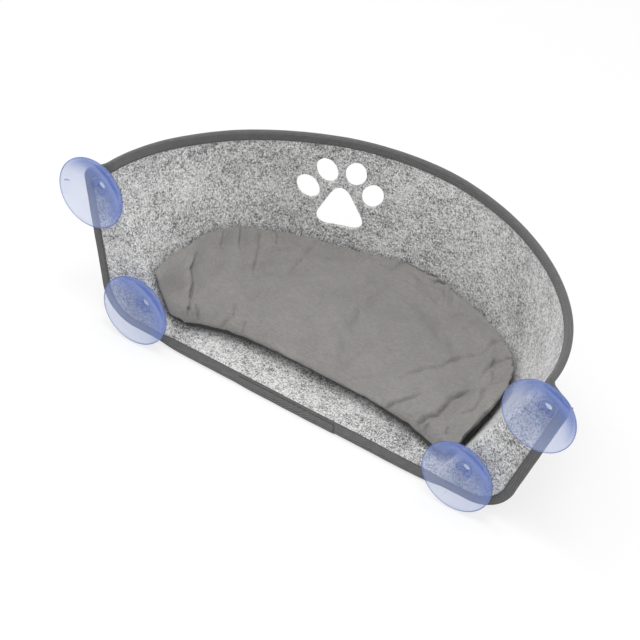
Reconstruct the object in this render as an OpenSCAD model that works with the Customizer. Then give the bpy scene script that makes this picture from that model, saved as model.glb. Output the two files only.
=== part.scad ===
// Window perch for a cat: a bowl of thick felt with a bound edge, four suction cups and a loose cushion.
// The glass is the plane Y = 0, the room lies towards +Y, and X runs along the window.

/* [Felt sheet] */
// Thickness of the felt
felt_t = 4; // [3:0.25:5]
// Distance from the lower cups' centres down to the felt's bottom edge
bottom_reach = 33; // [30:0.5:39]
// Distance from the centre of a lower cup in to the fold at the bottom edge
fold_low_inset = 34; // [31:1:40]
// Distance from the centre of an upper cup in to the fold at the rim
fold_high_inset = 6; // [2:0.5:12]
// Height of the rim above the upper cups' centres where it meets the folds
rim_side_rise = 26.5; // [20:0.5:33]
// The same height at the middle of the back
rim_back_rise = 34; // [28:0.5:40]
// Depth of the rim behind the flat wings
rim_depth = 211; // [200:1:222]
// Radius of the curve between the floor and the back wall
back_r = 42; // [30:1:50]
// Slope of the floor up towards the back, in degrees
floor_tilt = 4; // [2:0.5:7]
// Lean of the back wall from upright, in degrees
back_lean = 1.5; // [1:0.5:5]
// Distance on each side of the fold line over which the sheet bends between wing and bowl
fold_r = 8; // [7:0.5:8.5]
// The same distance at the bottom edge, where the sheet twists from wing to floor
fold_low_r = 19; // [16:1:20]
// Distance from the centre of a lower cup out to the corner of the bottom edge
base_reach = 40.5; // [34:0.5:48]
// Radius of the bottom corners
base_corner_r = 44; // [30:1:48]
// Distance from the centre of an upper cup out to the ear's corner
ear_reach = 20.5; // [16:0.5:26]
// Height of the ear's corner above the centre of an upper cup
ear_rise = 7.5; // [4:0.5:13]
// Radius of the ears' corners
ear_r = 10; // [6:0.5:12]

/* [Edge binding] */
// Width of the tape on each face of the felt
tape_w = 9; // [7:0.5:10]
// Thickness of the tape
tape_t = 0.9; // [0.6:0.05:1.2]

/* [Suction cups] */
// Diameter of a suction cup
cup_d = 75; // [70:1:78]
// Distance between the centres of the two upper cups
upper_span = 496; // [490:1:504]
// Distance between the centres of the two lower cups
lower_span = 368; // [364:1:374]
// Height of the upper cups' centres above the lower cups' centres
cup_rise = 109; // [104:1:116]
// Depth of the hollow in a cup's face
cup_hollow = 8.5; // [7:0.5:10]
// Thickness of a cup at its hub
cup_mid_t = 4.2; // [3.5:0.1:5]
// Thickness of a cup at its rim
cup_rim_t = 1.4; // [1:0.1:2]
// Width of the flat lip that seals on the glass
lip_w = 3; // [2:0.25:4]
// Diameter of the hub between a cup and the felt
hub_d = 16; // [12:0.5:17]
// Length of the hub
hub_l = 4.1; // [3.1:0.1:7.1]
// Diameter of the neck that passes through the felt
neck_d = 9; // [7:0.5:10]
// Diameter of the button behind the felt
button_d = 14; // [13:0.5:15]
// Thickness of the button
button_t = 4; // [3:0.25:6]
// Diameter of the dimple in the middle of a cup's hollow
dimple_d = 7; // [4:0.5:9]
// Depth of the dimple
dimple_depth = 1.5; // [0.5:0.25:2.5]
// Length of the two small ribs on the back of a cup near its rim
mark_l = 5; // [3:0.5:6]
// Width of the ribs
mark_w = 1; // [0.6:0.1:1.4]
// Height of the ribs
mark_h = 0.7; // [0.4:0.1:1]

/* [Paw cut-out] */
// Distance of the paw's middle from the centre line of the perch
paw_x = -89; // [-100:1:-60]
// Height of the paw's middle
paw_z = 2; // [-6:1:10]
// Turn of the paw about the vertical, so that it faces the wall it is cut in, in degrees
paw_turn = 18; // [10:1:26]
// Tilt of the paw in the wall, in degrees
paw_tilt = 5; // [0:1:10]
// Width of the paw's pad across its lower corners, before they are rounded
pad_w = 64; // [58:1:68]
// Height of the pad, before its top is rounded
pad_h = 58; // [52:1:62]
// Radius of the pad's corners
pad_r = 12; // [9:0.5:13]
// Length of a toe
toe_l = 30; // [24:1:32]
// Width of a toe
toe_w = 22; // [18:1:24]

/* [Cushion] */
// Reach of the loose cushion to the left of the middle of the perch
cushion_left = 180; // [172:1:182]
// Its reach to the right
cushion_right = 172; // [168:1:181]
// Distance from the cushion's back edge to the back wall at the rim
cushion_back_gap = 5; // [4.5:0.5:16]
// Distance from the wings' plane back to the middle of the cushion's front edge
cushion_front_inset = 41; // [31:1:45]
// Distance from the wings' plane back to the cushion's front corners
cushion_tip_inset = 5; // [4:0.5:19]
// Thickness of the cushion at its middle
cushion_t = 30; // [22:1:36]
// Height of the seam above the cushion's underside
seam_h = 12; // [9:0.5:14]
// Thickness of the cover's cloth with its lining
cloth_t = 1; // [0.8:0.1:1.4]

/* [Hidden] */

$fn = 96;
// Overrun of every cut
cut = 1;
// Radial clearance of a neck in its hole, and gap between a hub or button and the felt
neck_gap = 0.08;
face_gap = 0.2;
// Gap between the tape and the felt
tape_gap = 0.4;
// Gap between the cushion and the felt, and between the parts of the cushion
cushion_gap = 0.8;
inner_gap = 0.4;

upper_cup_x = upper_span / 2;
lower_cup_x = lower_span / 2;
cup_z = cup_rise / 2;
neck_r = neck_d / 2;
hole_r = neck_r + neck_gap;
// Distance from the glass to the end of a hub, and to the face of the flat wings
hub_end = cup_hollow + cup_mid_t + hub_l;
wing_y = hub_end + face_gap;

// Places of the felt's folds, rim and corners about the middle of the four cups
bottom_drop = cup_z + bottom_reach;
fold_low_x = lower_cup_x - fold_low_inset;
fold_high_x = upper_cup_x - fold_high_inset;
rim_side_z = cup_z + rim_side_rise;
rim_back_z = cup_z + rim_back_rise;
base_corner_x = lower_cup_x + base_reach;
ear_x = upper_cup_x + ear_reach;
ear_z = cup_z + ear_rise;

// Rows of points from the bottom edge to the rim: over the floor, round the curve and up the wall
floor_rows = 8;
curve_rows = 7;
wall_rows = 8;
rows = floor_rows + curve_rows + wall_rows;
// Steps from the fold to the middle of the back, round the fold, and over a wing
bowl_steps = 13;
fold_steps = 5;
wing_steps = 3;
// Halvings in a search for a point on the bowl
search_steps = 22;

// Shares of the rise between bottom edge and rim at which the floor and the curve end at the folds
floor_end_share = 0.15;
curve_end_share = 0.38;
// Powers of the curves that the bowl follows in plan, at the floor and at the rim
plan_low_power = 3.3;
plan_high_power = 1.88;
// Power by which the points crowd towards the fold
crowd_power = 1.3;
// Powers of the rise of the floor along the folds and of the bowl's height across its width
floor_power = 1.1;
side_power = 2;

// Middle section of the bowl: floor, curve and wall, as lengths along the sheet
wall_angle = 90 - back_lean;
turn_angle = wall_angle - floor_tilt;
rise_back = rim_back_z + bottom_drop;
free_depth = rim_depth - back_r * (sin(wall_angle) - sin(floor_tilt));
free_rise = rise_back - back_r * (cos(floor_tilt) - cos(wall_angle));
floor_l = (free_depth * sin(wall_angle) - free_rise * cos(wall_angle)) / sin(turn_angle);
wall_l = (free_rise * cos(floor_tilt) - free_depth * sin(floor_tilt)) / sin(turn_angle);

function clamp01(v) = min(1, max(0, v));
function floor_part(r) = clamp01(r / floor_rows);
function curve_part(r) = clamp01((r - floor_rows) / curve_rows);
function wall_part(r) = clamp01((r - floor_rows - curve_rows) / wall_rows);
// Slope of the middle section at row r
function curve_angle(r) = floor_tilt + turn_angle * curve_part(r);
// Depth behind the wings and height of the middle section at row r
function mid_depth(r) = floor_l * cos(floor_tilt) * floor_part(r)
    + back_r * (sin(curve_angle(r)) - sin(floor_tilt)) + wall_l * cos(wall_angle) * wall_part(r);
function mid_z(r) = -bottom_drop + floor_l * sin(floor_tilt) * floor_part(r)
    + back_r * (cos(floor_tilt) - cos(curve_angle(r))) + wall_l * sin(wall_angle) * wall_part(r);
// Share of the rise, height and half width at the folds at row r
function fold_share(r) = floor_end_share * pow(floor_part(r), floor_power)
    + (curve_end_share - floor_end_share) * curve_part(r) + (1 - curve_end_share) * wall_part(r);
function fold_z(r) = -bottom_drop + (rim_side_z + bottom_drop) * fold_share(r);
function fold_x(r) = fold_low_x + (fold_high_x - fold_low_x) * fold_share(r);
function plan_power(r) = plan_low_power + (plan_high_power - plan_low_power) * fold_share(r);
// Share of the way from the fold's height to the middle's, for a point at a share c of the half width
function side_share(c) = 2 * pow(c, side_power) - pow(c, 2 * side_power);
function bowl_z(r, c) = mid_z(r) + (fold_z(r) - mid_z(r)) * side_share(c);
// Point of the bowl's inner face on row r, at a share d of the depth
function bowl_at(r, d) =
    let (p = plan_power(r), c = pow(max(0, 1 - pow(d, p)), 1 / p))
    [fold_x(r) * c, wing_y + mid_depth(r) * d, bowl_z(r, c)];

// Points of an arc of radius r that rounds a corner between two directions in a plane
function unit(v) = v / norm(v);
function arc_point(corner, way_in, way_out, r, share) =
    let (turn = acos(way_in * way_out), tangent = r * tan(turn / 2),
         left = unit(way_out - way_in * (way_in * way_out)), a = turn * share)
    corner - way_in * tangent + left * r * (1 - cos(a)) + way_in * r * sin(a);
function arc_tangent(way_in, way_out, r) = r * tan(acos(way_in * way_out) / 2);

// Outline of the right wing, in X and Z, from the bottom edge to the rim
base_corner = [base_corner_x, -bottom_drop];
ear_corner = [ear_x, ear_z];
rim_corner = [fold_high_x, rim_side_z];
edge_out = [1, 0];
edge_up = unit(ear_corner - base_corner);
edge_in = unit(rim_corner - ear_corner);
side_start = base_corner + edge_up * arc_tangent(edge_out, edge_up, base_corner_r);
side_end = ear_corner - edge_up * arc_tangent(edge_up, edge_in, ear_r);
base_rows = 7;
ear_rows = 6;
function wing_edge(i) =
    i <= base_rows ? arc_point(base_corner, edge_out, edge_up, base_corner_r, i / base_rows)
    : i >= rows - ear_rows
        ? arc_point(ear_corner, edge_up, edge_in, ear_r, 1 - (rows - i) / ear_rows)
    : side_start + (side_end - side_start) * (i - base_rows) / (rows - ear_rows - base_rows);
function wing_edge_point(i) = [wing_edge(i)[0], wing_y, wing_edge(i)[1]];
function fold_corner(i) = [fold_x(i), wing_y, fold_z(i)];
function fold_width(i) = fold_r + (fold_low_r - fold_r) * (1 - clamp01(fold_share(i) / floor_end_share));
fold_line = unit([fold_high_x - fold_low_x, 0, rim_side_z + bottom_drop]);
function fold_start(i) =
    let (way = unit(wing_edge_point(i) - fold_corner(i)))
    fold_corner(i) + way * fold_width(i) / norm(cross(way, fold_line));
// Share of the depth at which row i of the bowl lies at the fold's distance from the fold line
function fold_depth_share(i, low, high, n) =
    let (d = (low + high) / 2)
    n == 0 ? d
    : norm(bowl_at(i, d) - fold_corner(i)) > fold_width(i)
        ? fold_depth_share(i, low, d, n - 1) : fold_depth_share(i, d, high, n - 1);

// Arc from a to b that rounds the corner c, at equal distances from it
function blend(a, c, b, t) =
    let (m = 2 * t * (1 - t) * sin(acos(unit(a - c) * unit(b - c)) / 2), n = (1 - t) * (1 - t), o = t * t)
    (a * n + c * m + b * o) / (n + m + o);

// Right half of row i, from the middle to the wing's edge
function half_row(i) =
    let (first = asin(pow(fold_depth_share(i, 0, 1, search_steps), 1 / crowd_power)),
         inner = bowl_at(i, pow(sin(first), crowd_power)))
    concat(
        [for (k = [bowl_steps:-1:0])
            bowl_at(i, k == bowl_steps ? 1 : pow(sin(first + (90 - first) * k / bowl_steps), crowd_power))],
        [for (k = [1:fold_steps - 1]) blend(inner, fold_corner(i), fold_start(i), k / fold_steps)],
        [for (k = [0:wing_steps])
            fold_start(i) + (wing_edge_point(i) - fold_start(i)) * k / wing_steps]);
half_count = bowl_steps + 1 + fold_steps + wing_steps;
columns = 2 * half_count - 2;
function full_row(h) = concat([for (k = [half_count - 1:-1:1]) [-h[k][0], h[k][1], h[k][2]]], h);
face = [for (i = [0:rows]) full_row(half_row(i))];
// The sheet's direction from its inner to its outer face, which on the flat wings is away from the glass
function normal_at(i, j) = abs(j - half_count + 1) >= bowl_steps + fold_steps ? [0, 1, 0] : unit(cross(
    face[i][min(columns, j + 1)] - face[i][max(0, j - 1)],
    face[max(0, i - 1)][j] - face[min(rows, i + 1)][j]));
normals = [for (i = [0:rows]) [for (j = [0:columns]) normal_at(i, j)]];

// Height of the bowl's inner face over a place in plan
function row_over(x, y, low, high, n) =
    let (r = (low + high) / 2, p = plan_power(r))
    n == 0 ? r
    : pow(abs(x) / fold_x(r), p) + pow(max(0, y - wing_y) / mid_depth(r), p) > 1
        ? row_over(x, y, r, high, n - 1) : row_over(x, y, low, r, n - 1);
function bowl_height(x, y) =
    let (r = row_over(x, y, 0, rows, search_steps)) bowl_z(r, abs(x) / fold_x(r));

// Triangles of a closed skin between two like grids of points, listed one after the other
function grid_index(s, i, j) = (s * (rows + 1) + i) * (columns + 1) + j;
function quad(a, b, c, d) = [[a, b, c], [a, c, d]];
function flipped(faces) = [for (f = faces) [f[2], f[1], f[0]]];
// Two triangles between columns j and j + 1, split so that the halves of the sheet mirror each other
function mirrored(j, a, b, c, d) = j < columns / 2 ? quad(a, b, c, d) : quad(b, c, d, a);
function cell(s, i, j) = mirrored(j, grid_index(s, i, j), grid_index(s, i + 1, j),
                                  grid_index(s, i + 1, j + 1), grid_index(s, i, j + 1));
sheet_faces = concat(
    [for (i = [0:rows - 1]) for (j = [0:columns - 1])
        for (f = concat(cell(0, i, j), flipped(cell(1, i, j)))) f],
    [for (j = [0:columns - 1]) for (f = concat(
        mirrored(j, grid_index(0, 0, j + 1), grid_index(1, 0, j + 1), grid_index(1, 0, j),
                 grid_index(0, 0, j)),
        mirrored(j, grid_index(1, rows, j), grid_index(1, rows, j + 1), grid_index(0, rows, j + 1),
                 grid_index(0, rows, j))))
        f],
    [for (i = [0:rows - 1]) for (f = concat(
        quad(grid_index(0, i, 0), grid_index(1, i, 0), grid_index(1, i + 1, 0), grid_index(0, i + 1, 0)),
        quad(grid_index(0, i, columns), grid_index(0, i + 1, columns), grid_index(1, i + 1, columns),
             grid_index(1, i, columns))))
        f]);

function flat(rows_of_points) = [for (row = rows_of_points) for (p = row) p];

module felt_body() {
    back = [for (i = [0:rows]) [for (j = [0:columns]) face[i][j] + normals[i][j] * felt_t]];
    polyhedron(concat(flat(face), flat(back)), sheet_faces, convexity = 8);
}

// Places of the four cups, by side and row
module at_cup(side, up) {
    translate([side * (up > 0 ? upper_cup_x : lower_cup_x), 0, up * cup_z])
        rotate([-90, 0, 0])
            children();
}

// Paw cut through the back wall: a pad with three round corners and four toes in an arc above it
pad_low_share = 0.36;
pad_corners = [[0, pad_h * (1 - pad_low_share)], [-pad_w / 2, -pad_h * pad_low_share],
               [pad_w / 2, -pad_h * pad_low_share]];
corner_steps = 8;
toe_points = 24;
function ring_next(list, k) = list[(k + 1) % len(list)];
function ring_last(list, k) = list[(k + len(list) - 1) % len(list)];
function rounded(corners, radii) = [for (k = [0:len(corners) - 1])
    let (way_in = unit(corners[k] - ring_last(corners, k)),
         way_out = unit(ring_next(corners, k) - corners[k]))
    for (s = [0:corner_steps]) arc_point(corners[k], way_in, way_out, radii[k], s / corner_steps)];
// Places of the toes as shares of the pad's width and height, and their turns in degrees
toe_place_shares = [[-0.52, 0.41], [-0.23, 0.78], [0.23, 0.78], [0.52, 0.41]];
toe_turns = [25, 14, -14, -25];

module toe(place_share, turn) {
    translate([place_share[0] * pad_w, place_share[1] * pad_h])
        rotate(turn)
            polygon([for (k = [0:toe_points - 1])
                let (a = 360 * k / toe_points) [toe_w / 2 * cos(a), toe_l / 2 * sin(a)]]);
}

paw_reach = 2 * back_r;
module paw_cut() {
    wall_y = wing_y
        + rim_depth * pow(1 - pow(abs(paw_x) / fold_high_x, plan_high_power), 1 / plan_high_power);
    translate([paw_x, wall_y, paw_z])
        rotate([90, 0, paw_turn])
            linear_extrude(height = paw_reach, center = true)
                rotate(paw_tilt) {
                    polygon(rounded(pad_corners, [pad_r, pad_r, pad_r]));
                    for (k = [0:len(toe_turns) - 1])
                        toe(toe_place_shares[k], toe_turns[k]);
                }
}

module felt_shell() {
    color([0.72, 0.72, 0.71])
        difference() {
            felt_body();
            for (side = [-1, 1])
                for (up = [-1, 1])
                    at_cup(side, up)
                        translate([0, 0, wing_y - cut])
                            cylinder(h = felt_t + 2 * cut, r = hole_r);
            paw_cut();
        }
}

// Edge of the sheet as one closed path of grid places
edge_places = concat(
    [for (j = [0:columns]) [0, j]],
    [for (i = [1:rows]) [i, columns]],
    [for (j = [columns - 1:-1:0]) [rows, j]],
    [for (i = [rows - 1:-1:1]) [i, 0]]);
edge_count = len(edge_places);
function edge_place(k) = edge_places[(k + edge_count) % edge_count];
function face_point(place) = face[place[0]][place[1]];
// Section of the folded tape: outward from the felt's edge, and away from its inner face
tape_out = tape_gap + tape_t;
tape_far = felt_t + tape_out;
bulge_share = 0.75;
low_share = 0.45;
tape_steps = 3;
inward = [for (k = [tape_steps:-1:1]) -tape_w * k / tape_steps];
outward = [for (k = [1:tape_steps]) -tape_w * k / tape_steps];
tape_section = concat(
    [for (w = inward) [w, -tape_out]],
    [[0, -tape_out], [tape_out * bulge_share, -tape_out * low_share], [tape_out, felt_t / 2],
     [tape_out * bulge_share, felt_t + tape_out * low_share], [0, tape_far]],
    [for (w = outward) [w, tape_far]],
    [for (w = inward) [w, felt_t + tape_gap]],
    [[tape_gap, felt_t + tape_gap], [tape_gap / bulge_share, felt_t / 2], [tape_gap, -tape_gap]],
    [for (w = outward) [w, -tape_gap]]);
section_count = len(tape_section);
// Point at a distance w from the edge along column j, and at a depth d from the felt's inner face
function walked(i, step, j, w, d) =
    let (a = face[i][j], b = face[i + step][j], part = w / norm(b - a))
    part > 1 ? walked(i + step, step, j, w - norm(b - a), d)
    : a + (b - a) * part + (normals[i][j] + (normals[i + step][j] - normals[i][j]) * part) * d;
// The tape follows the columns on the bowl, where the sheet bends, and lies straight on the flat wings
function on_bowl(place) =
    (place[0] == 0 || place[0] == rows) && abs(place[1] - half_count + 1) <= bowl_steps + fold_steps;

// Share by which the folded tape swells where the sheet twists between a wing and the floor
twist_swell_share = 0.3;
function swell(place) =
    let (h = abs(place[1] - half_count + 1) - bowl_steps)
    place[0] > 0 ? 1 : 1 + twist_swell_share * sin(180 * clamp01((h + 1) / (fold_steps + 2)));

module edge_binding() {
    points = [for (k = [0:edge_count - 1])
        let (place = edge_place(k), here = face_point(place),
             along = unit(face_point(edge_place(k + 1)) - face_point(edge_place(k - 1))),
             deep = unit(normals[place[0]][place[1]] - along * (normals[place[0]][place[1]] * along)),
             out = cross(deep, along))
        for (s = tape_section)
            let (depth = felt_t / 2 + (s[1] - felt_t / 2) * swell(place))
            s[0] < 0 && on_bowl(place) ? walked(place[0], place[0] == 0 ? 1 : -1, place[1], -s[0], depth)
            : here + out * s[0] + deep * depth];
    faces = [for (k = [0:edge_count - 1]) for (s = [0:section_count - 1])
        let (s2 = (s + 1) % section_count, k2 = (k + 1) % edge_count,
             a = k * section_count + s, b = k2 * section_count + s,
             c = k2 * section_count + s2, d = k * section_count + s2,
             on_left = edge_place(k)[1] + edge_place(k + 1)[1] < columns,
             runs_in = tape_section[s][0] > tape_section[s2][0])
        for (f = on_left == runs_in ? quad(a, b, c, d) : quad(b, c, d, a)) f];
    color([0.34, 0.34, 0.34])
        polyhedron(points, faces, convexity = 8);
}

// Suction cup along +Z from the glass: a dish, a hub, a neck through the felt and a button behind it
cup_r = cup_d / 2;
hub_start = cup_hollow + cup_mid_t;
button_start = wing_y + felt_t + face_gap;
dish_steps = 10;
hub_r = hub_d / 2;
button_edge = button_t / 4;
// Powers of the curves of the dish's hollow and back
hollow_power = 2;
back_power = 1.7;
function hollow_at(r) = cup_hollow * (1 - pow(r / (cup_r - lip_w), hollow_power));
function back_at(r) =
    cup_rim_t + (hub_start - cup_rim_t) * (1 - pow((r - hub_r) / (cup_r - hub_r), back_power));
cup_profile = concat(
    [[0, cup_hollow + dimple_depth], [dimple_d / 4, cup_hollow + dimple_depth],
     [dimple_d / 2, hollow_at(dimple_d / 2)]],
    [for (k = [1:dish_steps]) let (r = dimple_d / 2 + (cup_r - lip_w - dimple_d / 2) * k / dish_steps)
        [r, hollow_at(r)]],
    [[cup_r, 0]],
    [for (k = [dish_steps:-1:0]) let (r = hub_r + (cup_r - hub_r) * k / dish_steps) [r, back_at(r)]],
    [[hub_r, hub_end], [neck_r, hub_end], [neck_r, button_start], [button_d / 2, button_start],
     [button_d / 2, button_start + button_t - button_edge],
     [button_d / 2 - button_edge, button_start + button_t], [0, button_start + button_t]]);
mark_r = cup_r - lip_w - mark_l;
mark_sink = mark_h;

module suction_cup(mark_turn) {
    color([0.5, 0.64, 0.95, 0.5]) {
        rotate_extrude()
            polygon(cup_profile);
        for (half = [0, 180])
            rotate(mark_turn + half)
                translate([mark_r, -mark_w / 2, back_at(mark_r + mark_l) - mark_sink])
                    cube([mark_l, mark_w, back_at(mark_r) - back_at(mark_r + mark_l) + mark_sink + mark_h]);
    }
}

// Turns of the four cups on their own middles, in degrees
upper_left_turn = 5;
upper_right_turn = 38;
lower_left_turn = -25;
lower_right_turn = 70;

module upper_left_cup() { at_cup(-1, 1) suction_cup(upper_left_turn); }
module upper_right_cup() { at_cup(1, 1) suction_cup(upper_right_turn); }
module lower_left_cup() { at_cup(-1, -1) suction_cup(lower_left_turn); }
module lower_right_cup() { at_cup(1, -1) suction_cup(lower_right_turn); }

// Cushion: rings of points from the middle to the seam, over the height of the bowl
cushion_rings_shares = [0.28, 0.5, 0.68, 0.81, 0.9, 0.955, 0.985, 1];
ring_count = len(cushion_rings_shares);
ring_points = 56;
// Powers of the outline's back and front halves, and of the bend of its front edge
outline_back_power = 2.15;
outline_front_power = 22;
front_bend_power = 3;
cushion_w = cushion_left + cushion_right;
cushion_x = (cushion_right - cushion_left) / 2;
cushion_back_y = wing_y + rim_depth - cushion_back_gap;
cushion_front_y = wing_y + cushion_front_inset;
cushion_tip_y = wing_y + cushion_tip_inset;
cushion_mid_y = (cushion_back_y + cushion_tip_y) / 2;
outline_mid_share = 0.29;
outline_mid_y = cushion_tip_y + (cushion_back_y - cushion_tip_y) * outline_mid_share;
// Outline of the seam in plan, about the cushion's middle: share c of the half width, then the depth
function share_left(c, power) = pow(max(0, 1 - pow(abs(c), power)), 1 / power);
function front_y(c) = cushion_front_y + (cushion_tip_y - cushion_front_y) * pow(abs(c), front_bend_power);
function outline_point(a) =
    let (c = cos(a), is_back = sin(a) >= 0,
         edge_y = is_back ? cushion_back_y : front_y(c),
         depth_share = share_left(c, is_back ? outline_back_power : outline_front_power))
    [cushion_x + cushion_w / 2 * c, outline_mid_y + (edge_y - outline_mid_y) * depth_share];
outline = [for (k = [0:ring_points - 1]) outline_point(360 * k / ring_points)];
cushion_middle = [cushion_x, cushion_mid_y];
// Powers of the cushion's section from its middle to its seam
crown_flat_power = 4;
crown_round_power = 0.45;
function crown(share) = pow(max(0, 1 - pow(share, crown_flat_power)), crown_round_power);
// Rings of a surface whose crown has a height h above the seam, or below it if h is negative
function cushion_point(k, share, h, seam) =
    let (p = cushion_middle + (outline[k] - cushion_middle) * share)
    [p[0], p[1], bowl_height(p[0], p[1]) + cushion_gap + seam + h * crown(share)];
function cushion_skin(h, seam, rings) = concat(
    [cushion_point(0, 0, h, seam)],
    [for (ring = [0:rings - 1]) for (k = [0:ring_points - 1])
        cushion_point(k, cushion_rings_shares[ring], h, seam)]);
// Triangles of such a surface, of which first is the middle point's place in the list
function ring_index(first, ring, k) = first + 1 + ring * ring_points + k % ring_points;
function skin_faces(first, rings) = [for (k = [0:ring_points - 1]) for (f = concat(
    [[first, ring_index(first, 0, k + 1), ring_index(first, 0, k)]],
    [for (ring = [0:rings - 2]) for (q = quad(
        ring_index(first, ring, k), ring_index(first, ring, k + 1),
        ring_index(first, ring + 1, k + 1), ring_index(first, ring + 1, k))) q]))
    f];

// Closed solid between an upper and a lower surface, joined from outer ring to outer ring
module cushion_solid(upper, upper_rings, lower, lower_rings) {
    lower_first = 1 + upper_rings * ring_points;
    rim = [for (k = [0:ring_points - 1]) for (f = quad(
        ring_index(0, upper_rings - 1, k + 1), ring_index(lower_first, lower_rings - 1, k + 1),
        ring_index(lower_first, lower_rings - 1, k), ring_index(0, upper_rings - 1, k))) f];
    polyhedron(
        concat(upper, lower),
        concat(skin_faces(0, upper_rings), flipped(skin_faces(lower_first, lower_rings)), rim),
        convexity = 8);
}

top_seam = seam_h + inner_gap;
top_h = cushion_t - top_seam;
// A panel thins out to the seam at its outermost ring, and the filling stops two rings short of it
panel_rings = ring_count - 1;
filling_rings = ring_count - 2;

module cushion_top_panel() {
    color([0.5, 0.49, 0.48])
        cushion_solid(cushion_skin(top_h, top_seam, ring_count), ring_count,
                      cushion_skin(top_h - cloth_t, top_seam, panel_rings), panel_rings);
}

module cushion_bottom_panel() {
    color([0.44, 0.43, 0.42])
        cushion_solid(cushion_skin(cloth_t - seam_h, seam_h, ring_count), ring_count,
                      cushion_skin(-seam_h, seam_h, panel_rings), panel_rings);
}

module cushion_filling() {
    color([0.93, 0.93, 0.9])
        cushion_solid(cushion_skin(top_h - cloth_t, top_seam - inner_gap, filling_rings), filling_rings,
                      cushion_skin(cloth_t - seam_h, seam_h + inner_gap, filling_rings), filling_rings);
}

felt_shell();
edge_binding();
upper_left_cup();
upper_right_cup();
lower_left_cup();
lower_right_cup();
cushion_top_panel();
cushion_bottom_panel();
cushion_filling();
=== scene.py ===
import math
from collections import namedtuple
import bmesh
import bpy
from mathutils import Matrix, Vector, noise
from mathutils.bvhtree import BVHTree
from mathutils.kdtree import KDTree


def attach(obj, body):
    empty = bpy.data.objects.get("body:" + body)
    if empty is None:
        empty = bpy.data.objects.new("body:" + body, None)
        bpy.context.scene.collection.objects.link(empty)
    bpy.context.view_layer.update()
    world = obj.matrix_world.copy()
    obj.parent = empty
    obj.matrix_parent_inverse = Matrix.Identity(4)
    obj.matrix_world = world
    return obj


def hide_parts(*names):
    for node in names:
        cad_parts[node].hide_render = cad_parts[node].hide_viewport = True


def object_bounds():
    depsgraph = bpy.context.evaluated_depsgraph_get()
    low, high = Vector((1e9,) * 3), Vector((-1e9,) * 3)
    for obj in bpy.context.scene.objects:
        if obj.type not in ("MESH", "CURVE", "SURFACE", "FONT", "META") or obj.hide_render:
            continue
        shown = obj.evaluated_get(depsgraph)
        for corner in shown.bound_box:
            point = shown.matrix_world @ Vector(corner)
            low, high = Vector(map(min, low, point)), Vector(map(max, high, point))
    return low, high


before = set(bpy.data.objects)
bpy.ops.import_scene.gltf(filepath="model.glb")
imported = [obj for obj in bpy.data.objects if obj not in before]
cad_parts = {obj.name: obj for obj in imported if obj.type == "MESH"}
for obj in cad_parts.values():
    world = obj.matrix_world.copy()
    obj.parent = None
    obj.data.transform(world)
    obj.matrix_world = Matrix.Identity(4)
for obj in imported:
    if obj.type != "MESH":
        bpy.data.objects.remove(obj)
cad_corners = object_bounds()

mm = 0.001
full_turn = 2 * math.pi
touching = 0.01 * mm
scene = bpy.context.scene


# The camera, where the photograph was taken from

camera_place = Vector((0.8338, -1.5877, 1.3877))
camera_azimuth = math.radians(27.19)
camera_elevation = math.radians(37.03)
camera_roll = math.radians(9.42)
camera_lens, camera_sensor = 136.55, 36
camera_near, camera_far = 0.05, 30


def add_camera():
    data = bpy.data.cameras.new("view_from_glass")
    data.lens, data.sensor_width = camera_lens, camera_sensor
    data.clip_start, data.clip_end = camera_near, camera_far
    camera = bpy.data.objects.new("view_from_glass", data)
    scene.collection.objects.link(camera)
    back = Vector((math.sin(camera_azimuth) * math.cos(camera_elevation),
                   -math.cos(camera_azimuth) * math.cos(camera_elevation), math.sin(camera_elevation)))
    level = Vector((math.cos(camera_azimuth), math.sin(camera_azimuth), 0))
    upright = back.cross(level)
    right = level * math.cos(camera_roll) + upright * math.sin(camera_roll)
    up = back.cross(right)
    camera.matrix_world = Matrix((right, up, back)).transposed().to_4x4()
    camera.location = camera_place
    scene.camera = camera


add_camera()


# Materials: expressions on sockets

class Field:
    """A value that changes over a surface, wrapped so that arithmetic on it adds Math nodes."""

    def __init__(self, finish, socket):
        self.finish, self.socket = finish, socket

    def sum(self, operation, first, second=0.0):
        return self.finish.node("ShaderNodeMath", {"operation": operation}, {0: first, 1: second})

    def __add__(self, other):
        return self.sum("ADD", self, other)

    def __radd__(self, other):
        return self.sum("ADD", other, self)

    def __sub__(self, other):
        return self.sum("SUBTRACT", self, other)

    def __rsub__(self, other):
        return self.sum("SUBTRACT", other, self)

    def __mul__(self, other):
        return self.sum("MULTIPLY", self, other)

    def __rmul__(self, other):
        return self.sum("MULTIPLY", other, self)

    def waves(self):
        """Its sine, moved to lie between 0 and 1."""
        return self.sum("SINE", self) * 0.5 + 0.5

    def limited(self):
        """The value, held between 0 and 1."""
        return self.finish.node("ShaderNodeClamp", {}, {0: self})


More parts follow.
